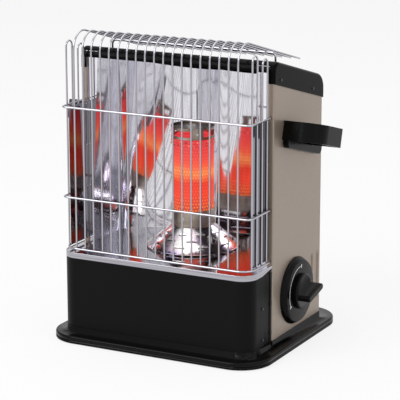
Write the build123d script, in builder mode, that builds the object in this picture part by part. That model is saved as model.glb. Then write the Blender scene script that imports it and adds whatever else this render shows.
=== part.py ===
from build123d import *
import os
from math import cos, radians, sin, tan

os.makedirs("parts", exist_ok=True)

# Cassette gas heater. +X is the heater's right-hand side, -Y its front, +Z up, in millimetres.
# The origin is on the floor, under the middle of the whole heater.

# Driving dimensions: tray
tray_width = 330.0
tray_depth = 286.0
tray_front_y = -146.0
tray_corner = 46.0
tray_lift = 1.2
tray_rim_top = 11.7
tray_sheet = 1.6
rim_groove_z = 5.0
rim_groove_height = 1.8
rim_groove_depth = 1.6
rim_round = 2.6
plinth_top = 20.9
plinth_step = 0.8
foot_radius = 12.0
foot_edge = 22.0

# Driving dimensions: body shell and cap
body_width = 294.4
body_front_y = -61.3
body_rear_y = 97.4
body_sheet = 0.8
flange_width = 8.5
body_corner = 5.0
slope = 15.5
cap_edge_z = 374.3
cap_top_z = 406.0
cap_sheet = 1.0
cap_gap = 0.3
cap_overhang_y = 1.4
cap_nose = 13.0
cap_rear_round = 24.0
cap_side_round = 4.0
cap_lip_z = 389.0
shell_under_cap = 14.0

# Driving dimensions: front panel and mirror pan
panel_front_y = -127.5
panel_inset = 1.2
panel_corner = 22.0
panel_sheet = 1.8
panel_top_z = 119.3
panel_channel_y = (-84.0, -66.5)
panel_channel_depth = 0.9
pan_top_z = 126.0
pan_sheet = 0.8
pan_rim_top = 127.0
pan_rim_proud = 0.5
pan_rim_wall = 1.4
pan_rear_y = 66.0

# Driving dimensions: reflector
reflector_sheet = 0.5
reflector_inset = 1.2
reflector_spread = (0.0, 0.131, 0.327, 0.509, 0.698, 0.829, 0.924, 0.971, 0.985, 1.0)
reflector_low_y = (57.0, 61.5, 63.5, 57.0, 47.5, 39.0, 27.5, 12.0, -15.0, -60.0)
reflector_high_y = (89.8, 94.3, 96.3, 89.8, 77.0, 62.0, 43.9, 21.8, -11.7, -60.0)
reflector_tab = 3.4
reflector_head_gap = 12.0
shield_gap = 4.6

# Driving dimensions: wire guard
rail_radius = 1.5
wire_radius = 1.25
guard_inset = 4.0
guard_front_y = -122.9
rail_z = (131.35, 203.3, 329.0)
rail_corners = (20.0, 7.0, 7.0)
rail_tail = 5.0
wire_count = 19
wire_margin = 19.36
guard_top_z = 433.0
wire_bend = 25.0
wire_rear_y = 68.8
leg_y = (-112.0, -97.0, -82.0, -67.0)
hairpin_top_z = 418.9
support_y = -12.0
support_over = 2.0
support_corner = 6.0
side_plate_sheet = 0.6
side_plate_front_y = -110.5
side_plate_z = (133.5, 327.0)
rivet_radius = 1.7
rivet_head = 0.9
rivet_z = (207.0, 266.0, 324.0)
rivet_inset = 2.4

# Driving dimensions: burner
burner_y = -11.0
burner_radius = 29.1
burner_sheet = 0.6
dish_top_z = 158.6
dish_rim_z = 128.6
dish_rim_radius = 63.4
dish_lip = 1.8
dish_sheet = 0.7
collar_top_z = 180.0
mesh_top_z = 281.0
head_top_z = 297.0
head_window_z = (284.5, 293.0)
head_window_angle = 55.0
head_first_window = -5.0
bead_count = 22
bead_radius = 1.5
bead_z = 276.0
core_radius = 22.5
slot_count = 10
slot_width = 2.2
slot_rows = ((39.5, 12.0, 0.0), (47.5, 14.0, 18.0), (55.5, 17.0, 0.0))
sight_hole_radius = 5.0
sight_hole_at = 46.0
sight_hole_angle = -29.0

burner_cup_inset = 4.0
burner_cup_low_z = 92.0
electrode_radius = 3.0
electrode_low_z = 100.0
sensor_radius = 1.6

# Driving dimensions: handles
handle_reach = 53.8
handle_length = 82.7
handle_height = 26.0
handle_strap = 5.0
handle_front_y = -32.3
handle_z = 307.8
handle_front_bend = 30.0
handle_rear_bend = 9.0
grip_plate = 8.0
grip_plate_length = 114.0
grip_plate_height = 30.0
grip_plate_front = 5.0
grip_plate_low = 23.0
grip_plate_corner = 7.0

# Driving dimensions: control knob
knob_y = 10.0
knob_z = 74.3
dial_radius = 47.0
dial_thick = 9.0
dial_face_radius = 42.5
knob_gap = 0.4
hub_radius = 25.0
hub_height = 6.0
grip_length = 46.0
grip_height = 24.0
grip_thick = 9.0
grip_rest_angle = 13.5
spindle_radius = 4.0
spindle_gap = 0.06

# Driving dimensions: gas train
valve_x = 96.0
valve_y = (-20.0, 34.0)
valve_half_height = 19.0
valve_boss = 14.0
nozzle_length = 12.0
mixer_radius = 9.0
mixer_sheet = 0.8
mixer_mouth_x = 80.0
pipe_radius = 3.0
pipe_x = 102.0
nut_length = 7.0
governor_radius = 29.0
governor_x = (76.0, 108.0)

# Driving dimensions: gas canister, its bay and its cover
canister_radius = 33.5
canister_rim = 34.3
canister_length = 184.0
canister_left_x = -116.0
canister_y = 106.5
canister_z = 75.0
canister_pull = 12.0
bay_gap = 3.0
saddle_gap = 0.5
saddle_width = 14.0
cover_side = 3.5
cover_low_z = 26.0
cover_room = 3.2
cover_wall = 2.0
cover_gap = 0.6
hinge_z = 122.0
hinge_y = 101.6
hinge_pin_radius = 1.5
hinge_gap = 0.05
knuckle_radius = 3.3
knuckle_length = 22.0
hinge_x = 88.0

# Values that several pieces share
body_half = body_width / 2
panel_half = body_half - panel_inset
guard_half = body_half - guard_inset
tray_mid_y = tray_front_y + tray_depth / 2
fall = tan(radians(slope))
inner_side = body_half - body_sheet
inner_rear = body_rear_y - body_sheet
flange_inner = body_half - flange_width
wire_pitch = 2 * (guard_half - wire_margin) / (wire_count - 1)
wire_y = guard_front_y + rail_radius + wire_radius
side_wire_x = guard_half - rail_radius - wire_radius
cap_half = body_half + cap_gap + cap_sheet
cap_front_y = body_front_y - cap_overhang_y
cap_rear_y = body_rear_y + cap_overhang_y
canister_right_x = canister_left_x + canister_length
bay_left_x = canister_left_x - canister_pull - bay_gap
bay_right_x = governor_x[1] + bay_gap + 1
cover_left_x = bay_left_x - cover_side
cover_right_x = bay_right_x + cover_side
cover_slot_pitch = (cover_right_x - cover_left_x) / 5.2
cover_reach = canister_y + canister_rim + cover_room + cover_wall
electrode_x = sight_hole_at * cos(radians(sight_hole_angle))
electrode_y = burner_y + sight_hole_at * sin(radians(sight_hole_angle))


def sloped(z_front, y):
    """Height of a line that falls to the rear at the cap's slope, from z_front at the flange."""
    return z_front - (y - body_front_y) * fall


def save(piece, name):
    """Label a finished piece and write it as its own file."""
    piece.part.label = name
    export_step(piece.part, "parts/" + name + ".step")


def tray_outline(inset):
    """Rounded rectangle of the tray's edge, drawn in by inset."""
    with Locations((0, tray_mid_y)):
        RectangleRounded(tray_width - 2 * inset, tray_depth - 2 * inset, tray_corner - inset)


def stand_outline(grow):
    """Outline that the front panel and the body make together, grown by grow."""
    with BuildSketch() as outline:
        with BuildLine():
            half = panel_half + grow
            wide = body_half + grow
            front = panel_front_y - grow
            rear = body_rear_y + grow
            Polyline((-half, front), (half, front), (half, body_front_y), (wide, body_front_y),
                     (wide, rear), (-wide, rear), (-wide, body_front_y), (-half, body_front_y),
                     close=True)
        make_face()
        fillet(outline.vertices().group_by(Axis.Y)[0], radius=panel_corner + grow)
        fillet(outline.vertices().group_by(Axis.Y)[-1], radius=body_corner + grow)
    return outline.sketch


# Tray: pressed sheet with a rolled double rim and a raised plinth for the body
with BuildPart() as base_tray:
    with BuildSketch(Plane.XY.offset(tray_lift)):
        tray_outline(0)
    extrude(amount=tray_rim_top - tray_lift)
    fillet(base_tray.faces().sort_by(Axis.Z)[-1].edges(), radius=rim_round)
    fillet(base_tray.faces().sort_by(Axis.Z)[0].edges(), radius=rim_round / 2)
    with BuildSketch(Plane.XY.offset(rim_groove_z)):
        tray_outline(-rim_groove_depth)
        with BuildSketch(mode=Mode.SUBTRACT):
            tray_outline(rim_groove_depth)
    extrude(amount=rim_groove_height, mode=Mode.SUBTRACT)
    with BuildSketch(Plane.XY.offset(tray_rim_top)):
        add(stand_outline(plinth_step))
    extrude(amount=plinth_top - tray_rim_top)
    with BuildSketch(Plane.XY.offset(tray_lift)):
        tray_outline(rim_groove_depth + tray_sheet)
    extrude(amount=tray_rim_top - tray_sheet - tray_lift, mode=Mode.SUBTRACT)
    with BuildSketch(Plane.XY.offset(tray_lift)):
        add(stand_outline(plinth_step - tray_sheet))
    extrude(amount=plinth_top - tray_sheet - tray_lift, mode=Mode.SUBTRACT)
save(base_tray, "base_tray")

# Feet: four rubber pads under the tray's plinth
foot_x = panel_half - foot_edge
foot_front_y = panel_front_y + foot_edge
foot_rear_y = body_rear_y - foot_edge
foot_spots = [(x, y) for x in (-foot_x, foot_x) for y in (foot_front_y, foot_rear_y)]
with BuildPart() as rubber_feet:
    with BuildSketch():
        with Locations(*foot_spots):
            Circle(foot_radius)
    extrude(amount=plinth_top - tray_sheet)
    fillet(rubber_feet.edges().group_by(Axis.Z)[0], radius=1.0)
save(rubber_feet, "rubber_feet")

# Body shell: one sheet bent round both sides and the back, with front flanges
bay_low = canister_z - canister_rim - bay_gap
bay_high = canister_z + canister_rim + bay_gap
vent_rows = 5
vent_pitch = body_width / 7
with BuildPart() as body_shell:
    shell_height = sloped(cap_edge_z, body_front_y) + shell_under_cap - plinth_top
    with BuildSketch(Plane.XY.offset(plinth_top)):
        with BuildLine():
            Polyline(
                (-body_half, body_front_y), (body_half, body_front_y),
                (body_half, body_rear_y), (-body_half, body_rear_y), close=True,
            )
        make_face()
        fillet(vertices().group_by(Axis.Y)[-1], radius=body_corner)
        fillet(vertices().group_by(Axis.Y)[0], radius=2.0)
        offset(amount=-body_sheet, mode=Mode.SUBTRACT)
        with Locations((0, body_front_y)):
            Rectangle(2 * flange_inner, 4 * body_sheet, mode=Mode.SUBTRACT)
    extrude(amount=shell_height)
    with BuildSketch(Plane.YZ):
        with BuildLine():
            Polyline(
                (body_front_y - 9, sloped(cap_edge_z, body_front_y - 9) + shell_under_cap),
                (body_rear_y + 9, sloped(cap_edge_z, body_rear_y + 9) + shell_under_cap),
                (body_rear_y + 9, cap_edge_z + 60), (body_front_y - 9, cap_edge_z + 60),
                close=True,
            )
        make_face()
    extrude(amount=body_half + 9, both=True, mode=Mode.SUBTRACT)
    # Ribs pressed out near the rear of each side
    for side in (-1, 1):
        for rib_y in (69.5, 87.5):
            with BuildSketch(Plane.YZ.offset(side * body_half)):
                with Locations((rib_y, 78)):
                    SlotOverall(68, 7.5, rotation=90)
            extrude(amount=side * 1.2, taper=30)
    # Opening for the canister, air slots above it, and holes for knob and guard
    with BuildSketch(Plane.XZ.offset(-body_rear_y)):
        with Locations(((bay_left_x + bay_right_x) / 2, (bay_low + bay_high) / 2)):
            RectangleRounded(bay_right_x - bay_left_x + 3, bay_high - bay_low + 3, 4)
        for row in range(vent_rows):
            with Locations((0, 200 + 22 * row)):
                with GridLocations(vent_pitch, 1, 5, 1):
                    SlotOverall(vent_pitch - 10, 4)
    extrude(amount=2 * body_sheet, both=True, mode=Mode.SUBTRACT)
    with BuildSketch(Plane.YZ.offset(body_half)):
        with Locations((knob_y, knob_z)):
            Circle(spindle_radius + 6)
    extrude(amount=2 * body_sheet, both=True, mode=Mode.SUBTRACT)
    with BuildSketch(Plane.XZ.offset(-body_front_y)):
        for z in rail_z:
            with Locations((guard_half, z), (-guard_half, z)):
                Circle(rail_radius + 0.3)
    extrude(amount=2 * body_sheet, both=True, mode=Mode.SUBTRACT)
save(body_shell, "body_shell")

# Cap: deep-drawn lid that falls to the rear, with skirts and a front lip
def cap_block(inset, low_z):
    """Solid of the cap's outside, drawn in by inset, down to a sloping edge at low_z."""
    with BuildPart() as block:
        front = cap_front_y + inset
        rear = cap_rear_y - inset
        top_z = cap_top_z - inset
        with BuildSketch(Plane.YZ):
            with BuildLine():
                FilletPolyline((front, sloped(low_z, front)), (front, sloped(top_z, front)),
                               (rear, sloped(top_z, rear)), (rear, sloped(low_z, rear)),
                               radius=(cap_nose - inset, cap_rear_round - inset))
                Line((rear, sloped(low_z, rear)), (front, sloped(low_z, front)))
            make_face()
        extrude(amount=cap_half - inset, both=True)
        ends = block.faces().filter_by(Axis.X).edges()
        rims = ends.filter_by(lambda e: e.center().Z > sloped(low_z, e.center().Y) + 0.5)
        fillet(rims, radius=cap_side_round - inset)
    return block.part


with BuildPart() as top_cap:
    add(cap_block(0, cap_edge_z))
    add(cap_block(cap_sheet, cap_edge_z - 5), mode=Mode.SUBTRACT)
    with BuildSketch(Plane.XZ.offset(-cap_front_y)):
        with Locations((0, cap_lip_z - 20)):
            Rectangle(2 * flange_inner, 40)
    extrude(amount=3 * cap_sheet, both=True, mode=Mode.SUBTRACT)
save(top_cap, "top_cap")


def panel_ring(outset, wall, rear_y):
    """U-shaped wall in plan: front and two sides, with rounded front corners."""
    with BuildSketch() as ring:
        with BuildLine():
            half = panel_half + outset
            front = panel_front_y - outset
            FilletPolyline((-half, rear_y), (-half, front), (half, front), (half, rear_y),
                           radius=panel_corner + outset)
            Line((half, rear_y), (half - wall, rear_y))
            FilletPolyline((half - wall, rear_y), (half - wall, front + wall),
                           (wall - half, front + wall), (wall - half, rear_y),
                           radius=panel_corner + outset - wall)
            Line((wall - half, rear_y), (-half, rear_y))
        make_face()
    return ring.sketch


# Front panel: painted sheet round the gas parts, with a channel down each side
with BuildPart() as front_panel:
    with BuildSketch(Plane.XY.offset(plinth_top)):
        add(panel_ring(0, panel_sheet, body_front_y))
    extrude(amount=panel_top_z - plinth_top)
    channel_mid = (panel_channel_y[0] + panel_channel_y[1]) / 2
    channel_width = panel_channel_y[1] - panel_channel_y[0]
    with BuildSketch(Plane.XY.offset(plinth_top)):
        with Locations((panel_half, channel_mid), (-panel_half, channel_mid)):
            Rectangle(2 * panel_channel_depth, channel_width)
    extrude(amount=panel_top_z - plinth_top, mode=Mode.SUBTRACT)
save(front_panel, "front_panel")

# Mirror pan: polished floor of the hot space, with a bright rim over the panel
pan_side = flange_inner - 0.2
with BuildPart() as mirror_pan:
    with BuildSketch(Plane.XY.offset(panel_top_z)):
        add(panel_ring(pan_rim_proud, pan_rim_wall, body_front_y))
    extrude(amount=pan_rim_top - panel_top_z)
    fillet(mirror_pan.faces().sort_by(Axis.Z)[-1].outer_wire().edges(), radius=0.6)
    with BuildSketch(Plane.XY.offset(pan_top_z - pan_sheet)):
        with BuildLine():
            half = panel_half + pan_rim_proud
            front = panel_front_y - pan_rim_proud
            FilletPolyline((-half, body_front_y), (-half, front), (half, front), (half, body_front_y),
                           radius=panel_corner + pan_rim_proud)
            Polyline((half, body_front_y), (pan_side, body_front_y), (pan_side, pan_rear_y),
                     (-pan_side, pan_rear_y), (-pan_side, body_front_y), (-half, body_front_y))
        make_face()
        with Locations((0, burner_y)):
            Circle(burner_radius - burner_cup_inset, mode=Mode.SUBTRACT)
        with Locations((electrode_x, electrode_y)):
            Circle(electrode_radius, mode=Mode.SUBTRACT)
        with Locations((-electrode_x, electrode_y)):
            Circle(sensor_radius, mode=Mode.SUBTRACT)
    extrude(amount=pan_sheet)
save(mirror_pan, "mirror_pan")

# Reflector: one polished sheet bent into two lobes that lean back and meet in a ridge
reflector_height = cap_top_z - pan_top_z
reflector_edge = flange_inner - reflector_inset


def lobe_section(side, rise, depths):
    """Thin outline of one lobe at a height above the pan, with its depth at each place across."""
    inner = []
    outer = []
    for spread, y in zip(reflector_spread, depths):
        turn = spread ** 6
        inner.append((side * reflector_edge * spread, y))
        outer.append((side * (reflector_edge * spread + reflector_sheet * turn), y + reflector_sheet * (1 - turn)))
    with BuildSketch(Plane.XY.offset(pan_top_z + rise)) as section:
        with BuildLine():
            Spline(*inner)
            Line(inner[-1], outer[-1])
            Spline(*outer)
            Line(outer[0], inner[0])
        make_face()
    return section.sketch


with BuildPart() as reflector:
    for side in (-1, 1):
        add(lobe_section(side, 0, reflector_low_y))
        add(lobe_section(side, reflector_height, reflector_high_y))
        loft(ruled=True)
        with BuildSketch(Plane.XY.offset(pan_top_z)):
            tab_y = reflector_low_y[-1] + reflector_sheet / 2
            with Locations((side * (reflector_edge + reflector_tab / 2), tab_y)):
                Rectangle(reflector_tab, reflector_sheet)
        extrude(amount=reflector_height)
    head_z = cap_top_z - cap_sheet - reflector_head_gap
    with BuildSketch(Plane.YZ):
        with BuildLine():
            Polyline((body_front_y - 9, sloped(head_z, body_front_y - 9)),
                     (body_rear_y + 20, sloped(head_z, body_rear_y + 20)),
                     (body_rear_y + 20, cap_top_z + 60), (body_front_y - 9, cap_top_z + 60), close=True)
        make_face()
    extrude(amount=body_half, both=True, mode=Mode.SUBTRACT)
save(reflector, "reflector")

# Heat shield: plain sheet between the reflector and the back of the body
shield_y = inner_rear - shield_gap
with BuildPart() as heat_shield:
    shield_height = sloped(cap_edge_z, shield_y) - pan_top_z
    with Locations((0, shield_y - body_sheet / 2, pan_top_z + shield_height / 2)):
        Box(2 * inner_side, body_sheet, shield_height)
save(heat_shield, "heat_shield")


def rod(path, radius):
    """Round wire along a path of lines and arcs, as a separate solid."""
    with BuildPart(mode=Mode.PRIVATE) as wire:
        add(path)
        with BuildSketch(Plane(origin=path @ 0, z_dir=path % 0)):
            Circle(radius)
        sweep(path=path)
    return wire.part


# Guard rails: three U-shaped rods that carry all the guard's wires
bend_z = guard_top_z - wire_radius - wire_bend
tangent_z = bend_z + wire_bend * cos(radians(slope))
tangent_y = wire_y + wire_bend * (1 + sin(radians(slope)))
knee_z = tangent_z + (tangent_y - wire_y) * fall
wire_end_z = tangent_z - (wire_rear_y - tangent_y) * fall
rail_rear_y = body_front_y + rail_tail
with BuildPart() as guard_rails:
    for z, corner in zip(rail_z, rail_corners):
        with BuildLine(mode=Mode.PRIVATE) as rail:
            FilletPolyline((-guard_half, rail_rear_y, z), (-guard_half, guard_front_y, z),
                           (guard_half, guard_front_y, z), (guard_half, rail_rear_y, z), radius=corner)
        add(rod(rail.wire(), rail_radius))
save(guard_rails, "guard_rails")

# Front wires: each runs up from the lowest rail and is bent back over the cap
with BuildPart() as front_wires:
    with BuildLine(mode=Mode.PRIVATE) as front_wire:
        FilletPolyline((0, wire_y, rail_z[0]), (0, wire_y, knee_z), (0, wire_rear_y, wire_end_z),
                       radius=wire_bend)
    first_wire = rod(front_wire.wire(), wire_radius)
    with GridLocations(wire_pitch, 1, wire_count, 1):
        add(first_wire)
save(front_wires, "front_wires")

# Side wires: two hairpins on each side, stepping down with the cap's slope
rail_crown_z = rail_z[0] + rail_radius
with BuildPart() as side_wires:
    for side in (-1, 1):
        for first, second, foot_z in (leg_y[:2] + (rail_crown_z,), leg_y[2:] + (rail_z[0],)):
            span = second - first
            top = hairpin_top_z - wire_radius - span / 2 - (first - leg_y[0]) * fall
            x = side * side_wire_x
            with BuildLine(mode=Mode.PRIVATE) as hairpin:
                Line((x, first, foot_z), (x, first, top))
                ThreePointArc((x, first, top), (x, first + span / 2, top + span / 2), (x, second, top))
                Line((x, second, top), (x, second, rail_z[0]))
            add(rod(hairpin.wire(), wire_radius))
save(side_wires, "side_wires")

# Top support: cross wire under the front wires, standing on the cap on two turned-down ends
support_half = (wire_count - 1) / 2 * wire_pitch + support_over
support_z = tangent_z - (support_y - tangent_y) * fall - wire_radius - rail_radius
support_foot_z = sloped(cap_top_z, support_y) + 0.45
with BuildPart() as top_support:
    with BuildLine(mode=Mode.PRIVATE) as support:
        FilletPolyline((-support_half, support_y, support_foot_z), (-support_half, support_y, support_z),
                       (support_half, support_y, support_z), (support_half, support_y, support_foot_z),
                       radius=support_corner)
    add(rod(support.wire(), rail_radius))
save(top_support, "top_support")

# Side plates: polished sheets inside the guard's sides, from the lower hot space to the top rail
plate_x = side_wire_x - wire_radius - side_plate_sheet / 2
plate_length = body_front_y - side_plate_front_y
plate_height = side_plate_z[1] - side_plate_z[0]
for side, name in ((-1, "side_plate_left"), (1, "side_plate_right")):
    with BuildPart() as side_plate:
        with BuildSketch(Plane.YZ.offset(side * plate_x)):
            with Locations((side_plate_front_y + plate_length / 2, sum(side_plate_z) / 2)):
                Rectangle(plate_length, plate_height)
        extrude(amount=side_plate_sheet / 2, both=True)
        fillet(side_plate.edges().filter_by(Axis.X).group_by(Axis.Y)[0], radius=3.0)
        with BuildSketch(Plane.YZ.offset(side * plate_x)):
            with Locations(*[(body_front_y - rivet_inset, z) for z in rivet_z]):
                Circle(rivet_radius / 2)
        extrude(amount=side_plate_sheet, both=True, mode=Mode.SUBTRACT)
    save(side_plate, name)

with BuildPart() as plate_rivets:
    for side in (-1, 1):
        outer = plate_x + side_plate_sheet / 2
        for z in rivet_z:
            with BuildSketch(Plane.YZ.offset(side * outer)):
                with Locations((body_front_y - rivet_inset, z)):
                    Circle(rivet_radius)
            extrude(amount=side * rivet_head, taper=25)
            with BuildSketch(Plane.YZ.offset(side * outer)):
                with Locations((body_front_y - rivet_inset, z)):
                    Circle(rivet_radius / 2)
            extrude(amount=-side * side_plate_sheet)
save(plate_rivets, "plate_rivets")

# Burner dish: slotted bright cone that the glowing cylinder stands on
dish_drop = dish_top_z - dish_rim_z
dish_spread = dish_rim_radius - burner_radius
dish_angle = dish_drop / dish_spread
with BuildPart() as burner_dish:
    with BuildSketch(Plane.XZ.offset(-burner_y)):
        with BuildLine():
            rise = dish_sheet
            Polyline((burner_radius, dish_top_z), (dish_rim_radius, dish_rim_z),
                     (dish_rim_radius + dish_lip, dish_rim_z),
                     (dish_rim_radius + dish_lip, dish_rim_z - rise),
                     (dish_rim_radius - rise / 2, dish_rim_z - rise),
                     (burner_radius - rise, dish_top_z - rise),
                     (burner_radius - rise, dish_top_z), close=True)
        make_face()
    revolve(axis=Axis((0, burner_y, 0), (0, 0, 1)))
    for radius, length, shift in slot_rows:
        z = dish_top_z - (radius - burner_radius) * dish_angle
        with Locations((0, burner_y, z)):
            with PolarLocations(radius, slot_count, start_angle=sight_hole_angle + shift + 18):
                Box(slot_width, length, 8, mode=Mode.SUBTRACT)
    sight_z = dish_top_z - (sight_hole_at - burner_radius) * dish_angle
    with Locations((sight_hole_at * cos(radians(sight_hole_angle)),
                    burner_y + sight_hole_at * sin(radians(sight_hole_angle)), sight_z)):
        Cylinder(sight_hole_radius, 16, mode=Mode.SUBTRACT)
save(burner_dish, "burner_dish")


def tube_sketch(radius, wall):
    """Ring about the burner's axis."""
    with Locations((0, burner_y)):
        Circle(radius)
        Circle(radius - wall, mode=Mode.SUBTRACT)


# Burner collar: plain steel band under the glowing cylinder
with BuildPart() as burner_collar:
    with BuildSketch(Plane.XY.offset(dish_top_z)):
        tube_sketch(burner_radius + 0.5, burner_sheet + 0.5)
    extrude(amount=collar_top_z - dish_top_z)
    with BuildSketch(Plane.XY.offset(dish_top_z)):
        tube_sketch(burner_radius + 1.3, 1.9)
    extrude(amount=2.0)
save(burner_collar, "burner_collar")

# Burner mesh: perforated cylinder that glows, with a row of beads near its top
with BuildPart() as burner_mesh:
    with BuildSketch(Plane.XY.offset(collar_top_z)):
        tube_sketch(burner_radius, burner_sheet)
    extrude(amount=mesh_top_z - collar_top_z)
    for z, turn in ((bead_z, 0.5), (bead_z - 5, 0)):
        with Locations((0, burner_y, z)):
            with PolarLocations(burner_radius, bead_count, start_angle=turn * 360 / bead_count):
                Box(4, 2 * bead_radius, 2 * bead_radius, mode=Mode.SUBTRACT)
save(burner_mesh, "burner_mesh")

# Burner core: inner radiant element
with BuildPart() as burner_core:
    with BuildSketch(Plane.XY.offset(dish_top_z + 2)):
        tube_sketch(core_radius, 2.0)
    extrude(amount=mesh_top_z - dish_top_z + 2)
    with BuildSketch(Plane.XY.offset(dish_top_z + 2)):
        tube_sketch(burner_radius - burner_sheet, burner_radius - burner_sheet - core_radius + 2)
    extrude(amount=2)
save(burner_core, "burner_core")

# Burner head: band with windows, closed by a disc
with BuildPart() as burner_head:
    with BuildSketch(Plane.XY.offset(mesh_top_z)):
        tube_sketch(burner_radius + 0.5, burner_sheet + 0.5)
    extrude(amount=head_top_z - mesh_top_z)
    for i in range(4):
        turn = head_first_window + 90 * i
        near = radians(turn - head_window_angle / 2)
        far = radians(turn + head_window_angle / 2)
        reach = 2 * burner_radius
        with BuildSketch(Plane.XY.offset(head_window_z[0])):
            with BuildLine():
                Polyline((0, burner_y), (reach * cos(near), burner_y + reach * sin(near)),
                         (reach * cos(far), burner_y + reach * sin(far)), close=True)
            make_face()
        extrude(amount=head_window_z[1] - head_window_z[0], mode=Mode.SUBTRACT)
save(burner_head, "burner_head")

with BuildPart() as burner_disc:
    with BuildSketch(Plane.XY.offset(head_top_z - 3)):
        with Locations((0, burner_y)):
            Circle(burner_radius - burner_sheet)
    extrude(amount=1.0)
save(burner_disc, "burner_disc")

# Burner cup: pressed bowl under the pan that brings the gas up into the burner
cup_radius = burner_radius - burner_cup_inset
cup_low_z = burner_cup_low_z
with BuildPart() as burner_cup:
    with BuildSketch(Plane.XZ.offset(-burner_y)):
        with BuildLine():
            FilletPolyline((0, cup_low_z), (cup_radius - 6, cup_low_z), (cup_radius, pan_top_z),
                           (cup_radius, dish_top_z), radius=(8, 20))
            Polyline((cup_radius, dish_top_z), (cup_radius - 1, dish_top_z))
            FilletPolyline((cup_radius - 1, dish_top_z), (cup_radius - 1, pan_top_z),
                           (cup_radius - 6.8, cup_low_z + 1), (0, cup_low_z + 1), radius=(20, 7))
            Line((0, cup_low_z + 1), (0, cup_low_z))
        make_face()
    revolve(axis=Axis((0, burner_y, 0), (0, 0, 1)))
    with Locations((0, burner_y, cup_low_z)):
        Cylinder(mixer_radius, 6, mode=Mode.SUBTRACT)
save(burner_cup, "burner_cup")


# Handles: U-shaped straps standing on moulded backplates, tilted like the cap
def along(side, out, run, lift):
    """Point near a handle: out from the wall, run along the slope to the rear, lift across it."""
    tilt = radians(slope)
    return (side * (body_half + out), handle_front_y + run * cos(tilt) + lift * sin(tilt),
            handle_z - run * sin(tilt) + lift * cos(tilt))


for side, name in ((-1, "handle_left"), (1, "handle_right")):
    tilt = radians(slope)
    low = -handle_height / 2
    base = Plane(origin=along(side, 0, 0, low), x_dir=(side, 0, 0), z_dir=(0, sin(tilt), cos(tilt)))
    flip = side
    with BuildPart() as handle:
        with BuildSketch(base):
            with BuildLine():
                FilletPolyline((0, 0), (handle_reach, 0), (handle_reach, flip * handle_length),
                               (0, flip * handle_length), radius=(handle_front_bend, handle_rear_bend))
                Line((0, flip * handle_length), (0, flip * (handle_length - handle_strap)))
                FilletPolyline((0, flip * (handle_length - handle_strap)),
                               (handle_reach - handle_strap, flip * (handle_length - handle_strap)),
                               (handle_reach - handle_strap, flip * handle_strap),
                               (0, flip * handle_strap),
                               radius=(handle_rear_bend - handle_strap, handle_front_bend - handle_strap))
                Line((0, flip * handle_strap), (0, 0))
            make_face()
        extrude(amount=handle_height)
        wall = Plane(origin=along(side, 0, grip_plate_front, -grip_plate_low),
                     x_dir=(0, cos(tilt), -sin(tilt)), z_dir=(side, 0, 0))
        rise = grip_plate_height / 2 if side > 0 else -grip_plate_height / 2
        with BuildSketch(wall):
            with Locations((grip_plate_length / 2, rise)):
                RectangleRounded(grip_plate_length, grip_plate_height, grip_plate_corner)
        extrude(amount=grip_plate)
        fillet(handle.faces().filter_by(Axis.X).edges().filter_by(
            lambda e: abs(abs(e.center().X) - body_half - grip_plate) < 0.1
            and e.center().Z < along(side, 0, 60, 0)[2] - 8), radius=1.5)
    save(handle, name)

# Dial plate: round escutcheon screwed to the right-hand side
knob_axis = Plane(origin=(body_half, knob_y, knob_z), x_dir=(0, 1, 0), z_dir=(1, 0, 0))
with BuildPart() as dial_plate:
    with BuildSketch(knob_axis):
        Circle(dial_radius)
    extrude(amount=dial_thick)
    chamfer(dial_plate.faces().sort_by(Axis.X)[-1].edges(), length=dial_thick - 2,
            length2=dial_radius - dial_face_radius)
    with BuildSketch(knob_axis):
        Circle(spindle_radius + 6)
    extrude(amount=dial_thick, mode=Mode.SUBTRACT)
save(dial_plate, "dial_plate")

# Dial scale: raised arc with end marks on the face of the dial plate
scale_radius = dial_face_radius - 7.5
scale_arc = (86.0, 207.0)
scale_mark = (5.0, 2.4)
with BuildPart() as dial_scale:
    with BuildSketch(knob_axis.offset(dial_thick)):
        with BuildLine():
            CenterArc((0, 0), scale_radius + 0.5, scale_arc[0], scale_arc[1] - scale_arc[0])
            CenterArc((0, 0), scale_radius - 0.5, scale_arc[0], scale_arc[1] - scale_arc[0])
            for angle in scale_arc:
                turn = radians(angle)
                Line(((scale_radius - 0.5) * cos(turn), (scale_radius - 0.5) * sin(turn)),
                     ((scale_radius + 0.5) * cos(turn), (scale_radius + 0.5) * sin(turn)))
        make_face()
        for angle in scale_arc:
            with Locations((scale_radius * cos(radians(angle)), scale_radius * sin(radians(angle)))):
                Rectangle(scale_mark[0], scale_mark[1], rotation=angle)
    extrude(amount=0.2)
save(dial_scale, "dial_scale")

# Control knob: round hub with a bar grip, on a steel spindle
knob_face = knob_axis.offset(dial_thick + knob_gap)
grip_reach = hub_height + 18.0
with BuildPart() as control_knob:
    with BuildSketch(knob_face):
        Circle(hub_radius)
    extrude(amount=hub_height)
    fillet(control_knob.faces().sort_by(Axis.X)[-1].edges(), radius=2.0)
    with BuildSketch(knob_face):
        RectangleRounded(grip_length, grip_thick, grip_thick / 2 - 0.2, rotation=grip_rest_angle)
    extrude(amount=grip_reach)
    fillet(control_knob.faces().sort_by(Axis.X)[-1].edges(), radius=1.5)
    with BuildSketch(knob_face):
        Circle(spindle_radius)
    extrude(amount=grip_reach - 4, mode=Mode.SUBTRACT)
save(control_knob, "control_knob")

with BuildPart() as knob_spindle:
    with BuildSketch(knob_face.offset(grip_reach - 4)):
        Circle(spindle_radius)
    extrude(amount=-(body_half - valve_x - 12 + dial_thick + knob_gap + grip_reach - 4))
save(knob_spindle, "knob_spindle")

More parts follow.
